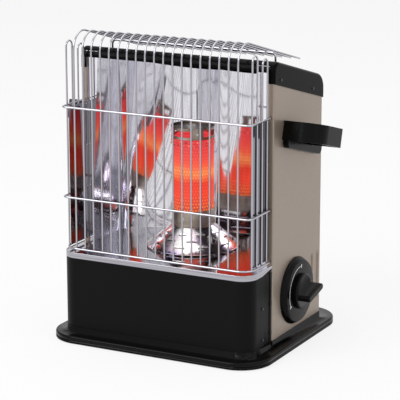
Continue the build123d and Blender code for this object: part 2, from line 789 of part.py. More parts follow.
# Gas valve: block behind the knob, with a boss against the side wall
with BuildPart() as gas_valve:
    valve_mid_y = (valve_y[0] + valve_y[1]) / 2
    valve_depth = valve_y[1] - valve_y[0]
    block_x = inner_side - 10
    with Locations(((valve_x + block_x) / 2, valve_mid_y, canister_z)):
        Box(block_x - valve_x, valve_depth, 2 * valve_half_height)
    fillet(gas_valve.edges().filter_by(Axis.X), radius=4)
    with BuildSketch(knob_axis.offset(-body_sheet)):
        Circle(valve_boss)
    extrude(amount=-12)
    with BuildSketch(knob_axis.offset(-body_sheet)):
        Circle(spindle_radius + spindle_gap)
    extrude(amount=-(inner_side - valve_x - 11), mode=Mode.SUBTRACT)
save(gas_valve, "gas_valve")

# Gas nozzle and mixing tube that feed the burner cup
with BuildPart() as gas_nozzle:
    with BuildSketch(Plane.YZ.offset(valve_x)):
        with Locations((burner_y, canister_z)):
            RegularPolygon(5.5, 6)
    extrude(amount=-nozzle_length / 2)
    with BuildSketch(Plane.YZ.offset(valve_x - nozzle_length / 2)):
        with Locations((burner_y, canister_z)):
            Circle(3.2)
    extrude(amount=-nozzle_length / 2, taper=12)
    with BuildSketch(Plane.YZ.offset(valve_x - nozzle_length)):
        with Locations((burner_y, canister_z)):
            Circle(0.5)
    extrude(amount=6, mode=Mode.SUBTRACT)
save(gas_nozzle, "gas_nozzle")

with BuildPart() as mixing_tube:
    with BuildLine() as mixer_path:
        FilletPolyline((mixer_mouth_x, burner_y, canister_z), (0, burner_y, canister_z),
                       (0, burner_y, cup_low_z + 1), radius=mixer_radius + 4)
    with BuildSketch(Plane(origin=(mixer_mouth_x, burner_y, canister_z), z_dir=(-1, 0, 0))):
        Circle(mixer_radius)
        Circle(mixer_radius - mixer_sheet, mode=Mode.SUBTRACT)
    sweep(path=mixer_path.wire())
    with BuildSketch(Plane.YZ.offset(mixer_mouth_x)):
        with Locations((burner_y, canister_z)):
            Circle(mixer_radius + 3)
            Circle(mixer_radius - mixer_sheet, mode=Mode.SUBTRACT)
    extrude(amount=-1.2)
save(mixing_tube, "mixing_tube")

# Burner bracket: two legs from the plinth to the pan, with a hole for the mixing tube
leg_x = cup_radius + 2
with BuildPart() as burner_bracket:
    for side in (-1, 1):
        with Locations((side * leg_x, burner_y, (plinth_top + pan_top_z - pan_sheet) / 2)):
            Box(1.5, 36, pan_top_z - pan_sheet - plinth_top)
        with Locations((side * (leg_x + 6.75), burner_y, plinth_top + 0.75)):
            Box(12, 36, 1.5)
        with Locations((side * (leg_x + 6.75), burner_y, pan_top_z - pan_sheet - 0.75)):
            Box(12, 36, 1.5)
    with BuildSketch(Plane.YZ.offset(leg_x)):
        with Locations((burner_y, canister_z)):
            Circle(mixer_radius)
    extrude(amount=4, both=True, mode=Mode.SUBTRACT)
    with Locations((electrode_x, electrode_y, pan_top_z)):
        Cylinder(electrode_radius + 2, 40, mode=Mode.SUBTRACT)
    with Locations((-electrode_x, electrode_y, pan_top_z)):
        Cylinder(electrode_radius + 2, 40, mode=Mode.SUBTRACT)
save(burner_bracket, "burner_bracket")

# Gas pipe from the governor to the valve, with a union nut at each end
pipe_ends = (valve_y[1], canister_y - governor_radius + 2)
with BuildPart() as gas_pipe:
    with BuildSketch(Plane.XZ.offset(-pipe_ends[0])):
        with Locations((pipe_x, canister_z)):
            Circle(pipe_radius)
            Circle(pipe_radius - 1, mode=Mode.SUBTRACT)
    extrude(amount=pipe_ends[0] - pipe_ends[1])
save(gas_pipe, "gas_pipe")
with BuildPart() as pipe_nuts:
    for y in (pipe_ends[0] + nut_length, canister_y - governor_radius):
        with BuildSketch(Plane.XZ.offset(-y)):
            with Locations((pipe_x, canister_z)):
                RegularPolygon(7, 6)
                Circle(pipe_radius, mode=Mode.SUBTRACT)
        extrude(amount=nut_length)
save(pipe_nuts, "pipe_nuts")

# Governor: round regulator with a magnet ring that holds the canister
canister_axis = Plane(origin=(0, canister_y, canister_z), x_dir=(0, 1, 0), z_dir=(1, 0, 0))
stem_radius = 4.0
stem_gap = 0.08
stem_x = (canister_right_x + 5, canister_right_x + 14)
with BuildPart() as governor:
    with BuildSketch(canister_axis.offset(governor_x[0] + 3)):
        Circle(governor_radius)
    extrude(amount=governor_x[1] - governor_x[0] - 3)
    fillet(governor.faces().sort_by(Axis.X)[-1].edges(), radius=4)
    with BuildSketch(canister_axis.offset(governor_x[0])):
        Circle(12)
    extrude(amount=3)
    with BuildSketch(canister_axis.offset(governor_x[0])):
        Circle(stem_radius + stem_gap)
    extrude(amount=stem_x[1] - governor_x[0] + 2, mode=Mode.SUBTRACT)
    with Locations((pipe_x, canister_y - governor_radius + 4, canister_z)):
        Box(16, 8, 16)
    with Locations((pipe_x, canister_y - governor_radius + 1, canister_z)):
        Cylinder(pipe_radius, 2, rotation=(90, 0, 0), mode=Mode.SUBTRACT)
save(governor, "governor")
with BuildPart() as governor_magnet:
    with BuildSketch(canister_axis.offset(governor_x[0])):
        Circle(24)
        Circle(12, mode=Mode.SUBTRACT)
    extrude(amount=3)
save(governor_magnet, "governor_magnet")

# Gas canister: plain tinned can lying on its side, with seams, dome and valve stem
with BuildPart() as canister:
    with BuildSketch(Plane.XY.offset(canister_z)):
        with BuildLine():
            Polyline((canister_left_x + 3, canister_y), (canister_left_x + 3, canister_y + canister_radius - 3),
                     (canister_left_x, canister_y + canister_radius - 2),
                     (canister_left_x, canister_y + canister_rim),
                     (canister_left_x + 3, canister_y + canister_rim),
                     (canister_left_x + 4, canister_y + canister_radius),
                     (canister_right_x - 4, canister_y + canister_radius),
                     (canister_right_x - 3, canister_y + canister_rim),
                     (canister_right_x, canister_y + canister_rim),
                     (canister_right_x, canister_y + canister_radius - 2),
                     (canister_right_x - 2, canister_y + canister_radius - 3),
                     (stem_x[0] + 1, canister_y + 18), (stem_x[0] + 2, canister_y + 11),
                     (stem_x[0] + 2, canister_y + stem_radius),
                     (stem_x[1], canister_y + stem_radius), (stem_x[1], canister_y), close=True)
        make_face()
    revolve(axis=Axis((0, canister_y, canister_z), (1, 0, 0)))
save(canister, "canister")

# Canister bay: bent sheet channel that reaches out through the rear opening
bay_sheet = 0.8
bay_front_y = canister_y - canister_rim - 2
bay_lip_y = 128.0
bay_end_x = canister_right_x - 2
with BuildPart() as canister_bay:
    with BuildSketch(Plane.YZ.offset(bay_left_x)):
        with BuildLine():
            Polyline((inner_rear, bay_high), (bay_front_y, bay_high), (bay_front_y, bay_low),
                     (bay_lip_y, bay_low), (bay_lip_y, bay_low - bay_sheet),
                     (bay_front_y - bay_sheet, bay_low - bay_sheet),
                     (bay_front_y - bay_sheet, bay_high + bay_sheet),
                     (inner_rear, bay_high + bay_sheet), close=True)
        make_face()
    extrude(amount=bay_end_x - bay_left_x)
save(canister_bay, "canister_bay")

with BuildPart() as bay_saddles:
    for x in (canister_left_x + canister_radius, canister_right_x - canister_radius):
        with Locations((x, (bay_front_y + bay_lip_y) / 2, bay_low + saddle_width / 2)):
            Box(saddle_width, bay_lip_y - bay_front_y, saddle_width)
    with BuildSketch(canister_axis.offset(canister_left_x)):
        Circle(canister_radius + saddle_gap)
    extrude(amount=canister_length, mode=Mode.SUBTRACT)
save(bay_saddles, "bay_saddles")

# Heat panel: aluminium arc that warms the canister
with BuildPart() as heat_panel:
    with BuildSketch(canister_axis.offset(-45)):
        with BuildLine():
            inner = canister_radius + 0.5
            CenterArc((0, 0), inner, 148, 64)
            CenterArc((0, 0), inner + 1.2, 148, 64)
            for angle in (148, 212):
                turn = radians(angle)
                Line((inner * cos(turn), inner * sin(turn)),
                     ((inner + 1.2) * cos(turn), (inner + 1.2) * sin(turn)))
        make_face()
        with Locations((-(canister_rim + 1.2), 0)):
            Rectangle(1.6, 9)
    extrude(amount=40)
save(heat_panel, "heat_panel")

# Canister cover: vented shell over the opening, hinged along its top
cover_top_z = hinge_z - knuckle_radius - 0.7
cover_front_y = body_rear_y + cover_gap
with BuildPart() as canister_cover:
    with BuildSketch(Plane.YZ.offset(cover_left_x)):
        with BuildLine():
            FilletPolyline((cover_front_y, cover_top_z), (cover_reach, cover_top_z),
                           (cover_reach, cover_low_z), (cover_front_y, cover_low_z), radius=20)
            Line((cover_front_y, cover_low_z), (cover_front_y, cover_top_z))
        make_face()
    extrude(amount=cover_right_x - cover_left_x)
    fillet(canister_cover.faces().filter_by(Axis.X).edges().filter_by(lambda e: e.center().Y > cover_front_y + 1),
           radius=6)
    offset(amount=-cover_wall, openings=canister_cover.faces().sort_by(Axis.Y)[0])
    with BuildSketch(Plane.XZ.offset(-cover_reach)):
        for z in (58, 67, 76, 85, 94):
            with Locations(((cover_left_x + cover_right_x) / 2, z)):
                with GridLocations(cover_slot_pitch, 1, 4, 1):
                    SlotOverall(cover_slot_pitch - 10, 4)
    extrude(amount=2 * cover_wall, both=True, mode=Mode.SUBTRACT)
    for x in (-hinge_x, hinge_x):
        with BuildSketch(Plane.YZ.offset(x - knuckle_length / 2)):
            with Locations((hinge_y, hinge_z)):
                Circle(knuckle_radius)
            with Locations((hinge_y + 0.4, (hinge_z + cover_top_z - cover_wall) / 2)):
                Rectangle(2 * knuckle_radius - 1.6, hinge_z - cover_top_z + cover_wall)
        extrude(amount=knuckle_length)
        with BuildSketch(Plane.YZ.offset(x - knuckle_length / 2)):
            with Locations((hinge_y, hinge_z)):
                Circle(hinge_pin_radius + hinge_gap)
        extrude(amount=knuckle_length, mode=Mode.SUBTRACT)
save(canister_cover, "canister_cover")

# Hinge brackets and pins that carry the cover
lug = 3.0
lug_gap = 0.5
with BuildPart() as hinge_brackets:
    for x in (-hinge_x, hinge_x):
        for side in (-1, 1):
            start = x + side * (knuckle_length / 2 + lug_gap)
            with BuildSketch(Plane.YZ.offset(start)):
                with Locations((hinge_y, hinge_z)):
                    Circle(knuckle_radius - 0.2)
                with Locations(((body_rear_y + hinge_y) / 2, hinge_z)):
                    Rectangle(hinge_y - body_rear_y, 2 * knuckle_radius - 0.4)
                with Locations((hinge_y, hinge_z)):
                    Circle(hinge_pin_radius, mode=Mode.SUBTRACT)
            extrude(amount=side * lug)
save(hinge_brackets, "hinge_brackets")
with BuildPart() as hinge_pins:
    for x in (-hinge_x, hinge_x):
        with BuildSketch(Plane.YZ.offset(x - knuckle_length / 2 - lug_gap - lug)):
            with Locations((hinge_y, hinge_z)):
                Circle(hinge_pin_radius)
        extrude(amount=knuckle_length + 2 * lug_gap + 2 * lug)
save(hinge_pins, "hinge_pins")

# Cover catch: magnet block low on the rear wall
with BuildPart() as cover_catch:
    with Locations((0, body_rear_y + 3, cover_low_z + cover_wall + 3.5)):
        Box(24, 6, 6)
save(cover_catch, "cover_catch")

# Safety and ignition parts in the lower case
switch_size = (30.0, 34.0, 32.0)
with BuildPart() as tilt_switch:
    with Locations((switch_size[0] - inner_side, burner_y, plinth_top + switch_size[2] / 2)):
        Box(*switch_size)
    fillet(tilt_switch.edges().filter_by(Axis.Z), radius=3)
save(tilt_switch, "tilt_switch")
igniter_size = (24.0, 28.0, 22.0)
with BuildPart() as piezo_igniter:
    with Locations((valve_x + igniter_size[0] * 0.9, valve_y[0] - igniter_size[1] / 2, canister_z)):
        Box(*igniter_size)
    fillet(piezo_igniter.edges().filter_by(Axis.Y), radius=3)
save(piezo_igniter, "piezo_igniter")
with BuildPart() as igniter_electrode:
    with BuildSketch(Plane.XY.offset(electrode_low_z)):
        with Locations((electrode_x, electrode_y)):
            Circle(electrode_radius)
    extrude(amount=38)
    with BuildSketch(Plane.XY.offset(electrode_low_z + 38)):
        with Locations((electrode_x, electrode_y)):
            Circle(0.9)
    extrude(amount=9)
save(igniter_electrode, "igniter_electrode")
with BuildPart() as igniter_lead:
    lead_y = valve_y[0] - igniter_size[1] / 2
    lead_x = valve_x + igniter_size[0] * 0.4
    with BuildLine() as lead_path:
        FilletPolyline((lead_x, lead_y, canister_z), (electrode_x + 12, lead_y, canister_z),
                       (electrode_x, electrode_y, canister_z),
                       (electrode_x, electrode_y, electrode_low_z), radius=5)
    with BuildSketch(Plane(origin=(lead_x, lead_y, canister_z), z_dir=(-1, 0, 0))):
        Circle(1.4)
    sweep(path=lead_path.wire())
save(igniter_lead, "igniter_lead")
with BuildPart() as flame_sensor:
    with BuildSketch(Plane.XY.offset(electrode_low_z)):
        with Locations((-electrode_x, electrode_y)):
            Circle(sensor_radius)
    extrude(amount=38)
save(flame_sensor, "flame_sensor")

# Screws on the outside
screw_radius = 2.2
screw_head = 1.4
screw_edge = 5.2
cap_screw_rise = 8.0
screw_low = 8.8
screw_high = 52.6
with BuildPart() as panel_screws:
    for side in (-1, 1):
        with BuildSketch(Plane.YZ.offset(side * panel_half)):
            with Locations((panel_channel_y[0] - screw_edge, plinth_top + screw_high),
                           (panel_channel_y[0] - screw_edge, plinth_top + screw_low),
                           (panel_channel_y[1] + screw_edge / 2, plinth_top + screw_high),
                           (panel_channel_y[1] + screw_edge / 2, plinth_top + 1.4 * screw_low)):
                Circle(screw_radius)
        extrude(amount=side * screw_head, taper=20)
save(panel_screws, "panel_screws")
with BuildPart() as cap_screws:
    for side in (-1, 1):
        for y in (-42.5, 60.0):
            with BuildSketch(Plane.YZ.offset(side * cap_half)):
                with Locations((y, sloped(cap_edge_z + cap_screw_rise, y))):
                    Circle(screw_radius)
            extrude(amount=side * screw_head, taper=20)
save(cap_screws, "cap_screws")
with BuildPart() as burner_screws:
    collar_mid_z = (dish_top_z + collar_top_z) / 2
    head_mid_z = (mesh_top_z + head_top_z) / 2
    for angle, z in ((-88.5, collar_mid_z), (-50.0, head_mid_z)):
        turn = radians(angle)
        rim = burner_radius + 0.5
        with BuildSketch(Plane(origin=(rim * cos(turn), burner_y + rim * sin(turn), z),
                               z_dir=(cos(turn), sin(turn), 0))):
            Circle(rivet_radius)
        extrude(amount=rivet_head)
save(burner_screws, "burner_screws")
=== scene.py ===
from math import cos, pi, radians, sin, tan

import bpy
from mathutils import Matrix, Vector


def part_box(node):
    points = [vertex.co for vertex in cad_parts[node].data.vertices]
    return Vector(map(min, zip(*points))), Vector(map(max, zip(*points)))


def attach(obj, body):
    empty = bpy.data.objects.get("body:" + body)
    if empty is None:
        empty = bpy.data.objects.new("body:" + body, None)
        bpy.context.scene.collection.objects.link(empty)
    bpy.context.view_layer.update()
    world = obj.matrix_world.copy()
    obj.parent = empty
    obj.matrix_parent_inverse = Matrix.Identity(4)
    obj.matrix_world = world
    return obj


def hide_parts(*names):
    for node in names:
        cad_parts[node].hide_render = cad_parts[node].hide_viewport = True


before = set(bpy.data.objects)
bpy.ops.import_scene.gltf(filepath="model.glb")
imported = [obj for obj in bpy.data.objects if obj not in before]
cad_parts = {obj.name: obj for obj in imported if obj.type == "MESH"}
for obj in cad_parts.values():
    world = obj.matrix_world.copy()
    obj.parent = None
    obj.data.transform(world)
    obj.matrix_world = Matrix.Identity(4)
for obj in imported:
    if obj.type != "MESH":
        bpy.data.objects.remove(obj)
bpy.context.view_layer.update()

# Tray: one sheet of steel pressed into a shallow pan with a rolled double rim.
# It is dipped in black enamel paint, so the rims carry long bright highlights.


def linear(code):
    """Linear colour with alpha from an sRGB hex code."""
    parts = [int(code[i:i + 2], 16) / 255 for i in (1, 3, 5)]
    return [c / 12.92 if c <= 0.04045 else ((c + 0.055) / 1.055) ** 2.4 for c in parts] + [1.0]


def add_node(material, kind, settings, links):
    """Adds one shader node, sets its inputs and options, and links other nodes' outputs to them."""
    node = material.node_tree.nodes.new(kind)
    for name, value in settings.items():
        if isinstance(name, int) or name in node.inputs:
            node.inputs[name].default_value = value
        else:
            setattr(node, name, value)
    for name, socket in links.items():
        material.node_tree.links.new(socket, node.inputs[name])
    return node


def dressed(name, body, material, angle=40):
    """Merged copy of a CAD node with smooth bends and flat sheets, which stands for it in its real finish."""
    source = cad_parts[name]
    piece = bpy.data.objects.new(name + "_dressed", source.data.copy())
    bpy.context.collection.objects.link(piece)
    bpy.ops.object.select_all(action="DESELECT")
    piece.select_set(True)
    bpy.context.view_layer.objects.active = piece
    bpy.ops.object.mode_set(mode="EDIT")
    bpy.ops.mesh.select_all(action="SELECT")
    bpy.ops.mesh.remove_doubles(threshold=0.000005)
    bpy.ops.object.mode_set(mode="OBJECT")
    bpy.ops.object.shade_smooth_by_angle(angle=radians(angle))
    flat = piece.modifiers.new("flat", "WEIGHTED_NORMAL")
    flat.keep_sharp = True
    bpy.ops.object.modifier_apply(modifier="flat")
    piece.data.materials.clear()
    piece.data.materials.append(material)
    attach(piece, body)
    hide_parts(name)
    return piece


tray_enamel = bpy.data.materials.new("tray_black_enamel_paint")
tray_enamel.use_nodes = True
tray_shader = tray_enamel.node_tree.nodes["Principled BSDF"]
tray_shader.inputs["Base Color"].default_value = linear("#0b0b0c")
tray_shader.inputs["Specular IOR Level"].default_value = 0.1
place = add_node(tray_enamel, "ShaderNodeTexCoord", {}, {})
dip_ripple = add_node(tray_enamel, "ShaderNodeTexNoise", {"Scale": 1 / 0.012, "Detail": 2.0},
                      {"Vector": place.outputs["Object"]})
dip_gloss = add_node(tray_enamel, "ShaderNodeMapRange", {"To Min": 0.14, "To Max": 0.26},
                     {"Value": dip_ripple.outputs["Fac"]})
tray_enamel.node_tree.links.new(dip_gloss.outputs["Result"], tray_shader.inputs["Roughness"])
dip_bump = add_node(tray_enamel, "ShaderNodeBump", {"Strength": 0.06, "Distance": 0.0004},
                    {"Height": dip_ripple.outputs["Fac"]})
tray_enamel.node_tree.links.new(dip_bump.outputs["Normal"], tray_shader.inputs["Normal"])
dressed("base_tray", "case", tray_enamel)

# Feet: four pads of moulded black rubber pushed up under the tray.
# Rubber is matt and a little greyer than the paint.
foot_rubber = bpy.data.materials.new("moulded_black_rubber")
foot_rubber.use_nodes = True
foot_shader = foot_rubber.node_tree.nodes["Principled BSDF"]
foot_shader.inputs["Base Color"].default_value = linear("#171717")
foot_shader.inputs["Roughness"].default_value = 0.8
foot_shader.inputs["Specular IOR Level"].default_value = 0.3
place = add_node(foot_rubber, "ShaderNodeTexCoord", {}, {})
mould_grain = add_node(foot_rubber, "ShaderNodeTexNoise", {"Scale": 1 / 0.0005},
                       {"Vector": place.outputs["Object"]})
mould_bump = add_node(foot_rubber, "ShaderNodeBump", {"Strength": 0.2, "Distance": 0.0002},
                      {"Height": mould_grain.outputs["Fac"]})
foot_rubber.node_tree.links.new(mould_bump.outputs["Normal"], foot_shader.inputs["Normal"])
dressed("rubber_feet", "case", foot_rubber)

# Body shell: thin sheet steel bent round the sides and back, sprayed with champagne metallic paint.
# Fine metal flakes under a clear coat give the eye a faint sparkle and a soft sheen.
flake_size = 0.0006
champagne = bpy.data.materials.new("champagne_metallic_paint")
champagne.use_nodes = True
body_shader = champagne.node_tree.nodes["Principled BSDF"]
body_shader.inputs["Metallic"].default_value = 0.5
body_shader.inputs["Roughness"].default_value = 0.42
body_shader.inputs["Coat Weight"].default_value = 0.25
body_shader.inputs["Coat Roughness"].default_value = 0.25
place = add_node(champagne, "ShaderNodeTexCoord", {}, {})
flakes = add_node(champagne, "ShaderNodeTexNoise", {"Scale": 1 / flake_size, "Detail": 1.0},
                  {"Vector": place.outputs["Object"]})
flake_colour = add_node(champagne, "ShaderNodeValToRGB", {}, {"Fac": flakes.outputs["Fac"]})
flake_colour.color_ramp.elements[0].position = 0.3
flake_colour.color_ramp.elements[0].color = linear("#8f7f70")
flake_colour.color_ramp.elements[1].position = 0.7
flake_colour.color_ramp.elements[1].color = linear("#a5968a")
champagne.node_tree.links.new(flake_colour.outputs["Color"], body_shader.inputs["Base Color"])
dressed("body_shell", "case", champagne)

# Cap: steel lid, deep-drawn in one piece and finished in glossy black enamel.
# It mirrors the guard wires that pass over it.
cap_enamel = bpy.data.materials.new("cap_glossy_black_enamel")
cap_enamel.use_nodes = True
cap_shader = cap_enamel.node_tree.nodes["Principled BSDF"]
cap_shader.inputs["Base Color"].default_value = linear("#080809")
cap_shader.inputs["Specular IOR Level"].default_value = 0.04
place = add_node(cap_enamel, "ShaderNodeTexCoord", {}, {})
enamel_flow = add_node(cap_enamel, "ShaderNodeTexNoise", {"Scale": 1 / 0.02, "Detail": 1.0},
                       {"Vector": place.outputs["Object"]})
enamel_gloss = add_node(cap_enamel, "ShaderNodeMapRange", {"To Min": 0.1, "To Max": 0.2},
                        {"Value": enamel_flow.outputs["Fac"]})
cap_enamel.node_tree.links.new(enamel_gloss.outputs["Result"], cap_shader.inputs["Roughness"])
dressed("top_cap", "case", cap_enamel)

# Front panel: sheet steel wrapped round the gas parts, painted satin black.
# The paint has a very fine grain that spreads the highlights.
grain_size = 0.0004
satin_black = bpy.data.materials.new("satin_black_paint")
satin_black.use_nodes = True
panel_shader = satin_black.node_tree.nodes["Principled BSDF"]
panel_shader.inputs["Base Color"].default_value = linear("#0d0d0e")
panel_shader.inputs["Roughness"].default_value = 0.4
panel_shader.inputs["Specular IOR Level"].default_value = 0.08
place = add_node(satin_black, "ShaderNodeTexCoord", {}, {})
grain = add_node(satin_black, "ShaderNodeTexNoise", {"Scale": 1 / grain_size, "Detail": 0.0},
                 {"Vector": place.outputs["Object"]})
grain_bump = add_node(satin_black, "ShaderNodeBump", {"Strength": 0.12, "Distance": 0.0002},
                      {"Height": grain.outputs["Fac"]})
satin_black.node_tree.links.new(grain_bump.outputs["Normal"], panel_shader.inputs["Normal"])
dressed("front_panel", "case", satin_black)

# Mirror pan: stainless sheet pressed into a shallow pan under the burner, with its rim over the front panel.
# It shares the reflector's bright-annealed finish, a slightly soft mirror with faint streaks from the rolls,
# but its steel is painted a shade darker, with finer level streaks, as painted shade and reflection on the rim.
mirror_steel = bpy.data.materials.new("bright_annealed_stainless_steel")
mirror_steel.use_nodes = True
mirror_shader = mirror_steel.node_tree.nodes["Principled BSDF"]
mirror_shader.inputs["Metallic"].default_value = 1.0
place = add_node(mirror_steel, "ShaderNodeTexCoord", {}, {})
rolled_streaks = add_node(mirror_steel, "ShaderNodeMapping", {"Scale": (1 / 0.006, 1 / 0.006, 1 / 0.25)},
                          {"Vector": place.outputs["Object"]})
streak = add_node(mirror_steel, "ShaderNodeTexNoise", {"Scale": 1.0, "Detail": 2.0},
                  {"Vector": rolled_streaks.outputs["Vector"]})
streak_colour = add_node(mirror_steel, "ShaderNodeValToRGB", {}, {"Fac": streak.outputs["Fac"]})
streak_colour.color_ramp.elements[0].position = 0.35
streak_colour.color_ramp.elements[0].color = linear("#dddce2")
streak_colour.color_ramp.elements[1].position = 0.65
streak_colour.color_ramp.elements[1].color = linear("#ebebf0")
mirror_steel.node_tree.links.new(streak_colour.outputs["Color"], mirror_shader.inputs["Base Color"])
streak_gloss = add_node(mirror_steel, "ShaderNodeMapRange", {"To Min": 0.05, "To Max": 0.1},
                        {"Value": streak.outputs["Fac"]})
mirror_steel.node_tree.links.new(streak_gloss.outputs["Result"], mirror_shader.inputs["Roughness"])
shaded_rim_steel = mirror_steel.copy()
shaded_rim_steel.name = "pressed_stainless_steel_pan_painted_shade"
shaded_rim_stops = shaded_rim_steel.node_tree.nodes["Color Ramp"].color_ramp.elements
# Darker stops than the reflector's: painted shade on the pan's steel.
for element, code in zip(shaded_rim_stops, ("#9b99a0", "#b7b5bc")):
    element.color = linear(code)
shaded_rim_steel.node_tree.nodes["Mapping"].inputs["Scale"].default_value = (1 / 0.12, 1 / 0.12, 1 / 0.0015)
dressed("mirror_pan", "case", shaded_rim_steel)

# Reflector: one thin mirror sheet bent into two lobes that meet in a ridge behind the burner.
# It leans back as it rises, so the lobes are deeper at the top.
# Each line is half a section in millimetres, from the ridge out to the hem behind the body's flange. The high
# line was fitted by ray tracing to where the tube's reflections lie, then rounded.
lobe_low = ((0, 57), (22, 62), (45, 63.5), (70, 57), (96, 47.5), (114, 39), (127, 27.5), (133, 10),
            (134, -20), (134.3, -60), (140.5, -60.2))
lobe_high = ((0, 76), (20, 89.2), (40.8, 95.1), (63.4, 93), (87, 77), (103.3, 50), (115, 23), (120.5, 2),
             (121.4, -24), (121.7, -60), (140.5, -60.2))
lobe_low_z = 126.0
lobe_high_z = 399.0
cap_under_z = 398.0
cap_fall = tan(radians(15.5))
body_front_y = -61.3
reflector_thickness = 0.0005
column_steps = 8
row_steps = 24


def on_curve(points, t):
    """Point of a smooth curve through the given points, at t counted in points, with a straight hem."""
    hem = len(points) - 2
    i = min(int(t), hem)
    f = t - i
    if i == hem:
        return Vector(points[hem]).lerp(Vector(points[-1]), f)
    line = [Vector(points[max(0, min(j, hem))]) for j in range(i - 1, i + 3)]
    return 0.5 * (2 * line[1] + (line[2] - line[0]) * f
                  + (2 * line[0] - 5 * line[1] + 4 * line[2] - line[3]) * f ** 2
                  + (3 * line[1] - line[0] - 3 * line[2] + line[3]) * f ** 3)


columns = column_steps * (len(lobe_low) - 1)
bpy.ops.object.select_all(action="DESELECT")
bpy.ops.mesh.primitive_grid_add(x_subdivisions=2 * columns, y_subdivisions=row_steps, size=2)
reflector_sheet = bpy.context.object
reflector_sheet.name = "reflector_sheet"
for corner in reflector_sheet.data.vertices:
    side = 1 if corner.co.x > 0 else -1
    t = abs(corner.co.x) * (len(lobe_low) - 1)
    low, high = on_curve(lobe_low, t), on_curve(lobe_high, t)
    lean = (high - low) / (lobe_high_z - lobe_low_z)
    top_z = (cap_under_z - (low.y - body_front_y - lean.y * lobe_low_z) * cap_fall) / (1 + lean.y * cap_fall)
    z = lobe_low_z + (corner.co.y + 1) / 2 * (top_z - lobe_low_z)
    spot = low + lean * (z - lobe_low_z)
    corner.co = (side * spot.x / 1000, spot.y / 1000, z / 1000)
bpy.ops.object.mode_set(mode="EDIT")
bpy.ops.mesh.select_all(action="SELECT")
bpy.ops.mesh.normals_make_consistent(inside=False)
bpy.ops.object.mode_set(mode="OBJECT")
folded = reflector_sheet.modifiers.new("folded", "SOLIDIFY")
folded.thickness = reflector_thickness
folded.offset = -1
bpy.ops.object.modifier_apply(modifier="folded")
bpy.ops.object.shade_smooth_by_angle(angle=radians(50))
reflector_sheet.data.materials.append(mirror_steel)
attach(reflector_sheet, "case")
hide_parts("reflector")

# Heat shield, bay and brackets: plain zinc-coated sheet that is hidden in use.
# The coating is dull, with a soft pattern of crystals.
spangle_size = 0.012
zinc_sheet = bpy.data.materials.new("zinc_coated_sheet_steel")
zinc_sheet.use_nodes = True
zinc_shader = zinc_sheet.node_tree.nodes["Principled BSDF"]
zinc_shader.inputs["Metallic"].default_value = 1.0
zinc_shader.inputs["Roughness"].default_value = 0.45
place = add_node(zinc_sheet, "ShaderNodeTexCoord", {}, {})
spangle = add_node(zinc_sheet, "ShaderNodeTexVoronoi", {"Scale": 1 / spangle_size},
                   {"Vector": place.outputs["Object"]})
spangle_colour = add_node(zinc_sheet, "ShaderNodeValToRGB", {}, {"Fac": spangle.outputs["Color"]})
spangle_colour.color_ramp.elements[0].color = linear("#8f9295")
spangle_colour.color_ramp.elements[1].color = linear("#a9acaf")
zinc_sheet.node_tree.links.new(spangle_colour.outputs["Color"], zinc_shader.inputs["Base Color"])
for name in ("heat_shield", "burner_bracket", "canister_bay", "hinge_brackets"):
    dressed(name, "case", zinc_sheet)

# Wire guard: steel wires welded to three rails and chromed as one piece.
# Chrome is a clean, bright mirror, here with a little unevenness from the plating bath.
guard_chrome = bpy.data.materials.new("chromed_steel_wire")
guard_chrome.use_nodes = True
chrome_shader = guard_chrome.node_tree.nodes["Principled BSDF"]
chrome_shader.inputs["Base Color"].default_value = linear("#b4b3ba")
chrome_shader.inputs["Metallic"].default_value = 1.0
place = add_node(guard_chrome, "ShaderNodeTexCoord", {}, {})
plating = add_node(guard_chrome, "ShaderNodeTexNoise", {"Scale": 1 / 0.008, "Detail": 2.0},
                   {"Vector": place.outputs["Object"]})
plating_gloss = add_node(guard_chrome, "ShaderNodeMapRange", {"To Min": 0.08, "To Max": 0.2},
                         {"Value": plating.outputs["Fac"]})
guard_chrome.node_tree.links.new(plating_gloss.outputs["Result"], chrome_shader.inputs["Roughness"])
for name in ("guard_rails", "front_wires", "side_wires", "top_support"):
    dressed(name, "case", guard_chrome, angle=60)

# Side plates: polished stainless sheets inside the guard's sides, held by three rivets each.
# Their steel is painted darker than the reflector's, as painted shade on plates seen nearly edge on.
shaded_plate_steel = mirror_steel.copy()
shaded_plate_steel.name = "polished_stainless_side_plate_painted_shade"
shaded_plate_stops = shaded_plate_steel.node_tree.nodes["Color Ramp"].color_ramp.elements
# Darker stops: painted shade on the side plates' steel.
for element, code in zip(shaded_plate_stops, ("#77767c", "#8f8e95")):
    element.color = linear(code)
for name in ("side_plate_left", "side_plate_right"):
    dressed(name, "case", shaded_plate_steel)

# Burner dish and bands: a slotted cone with a collar above it, both of heat-resisting stainless steel.
# The cone is pressed bright and has taken a pale violet bloom from the heat.
bright_steel = bpy.data.materials.new("pressed_bright_stainless_steel")
bright_steel.use_nodes = True
bright_shader = bright_steel.node_tree.nodes["Principled BSDF"]
bright_shader.inputs["Metallic"].default_value = 1.0
bright_shader.inputs["Roughness"].default_value = 0.2
place = add_node(bright_steel, "ShaderNodeTexCoord", {}, {})
heat_bloom = add_node(bright_steel, "ShaderNodeTexNoise", {"Scale": 1 / 0.03, "Detail": 1.0},
                      {"Vector": place.outputs["Object"]})
bloom_colour = add_node(bright_steel, "ShaderNodeValToRGB", {}, {"Fac": heat_bloom.outputs["Fac"]})
bloom_stops = bloom_colour.color_ramp.elements
for stop, (at, code) in enumerate(((0.3, "#efe9e4"), (0.5, "#f3f0f0"), (0.62, "#dcc4d0"), (0.72, "#c9bbe0"))):
    point = bloom_stops[stop] if stop < 2 else bloom_stops.new(at)
    point.position = at
    point.color = linear(code)
bright_steel.node_tree.links.new(bloom_colour.outputs["Color"], bright_shader.inputs["Base Color"])
dressed("burner_dish", "case", bright_steel)

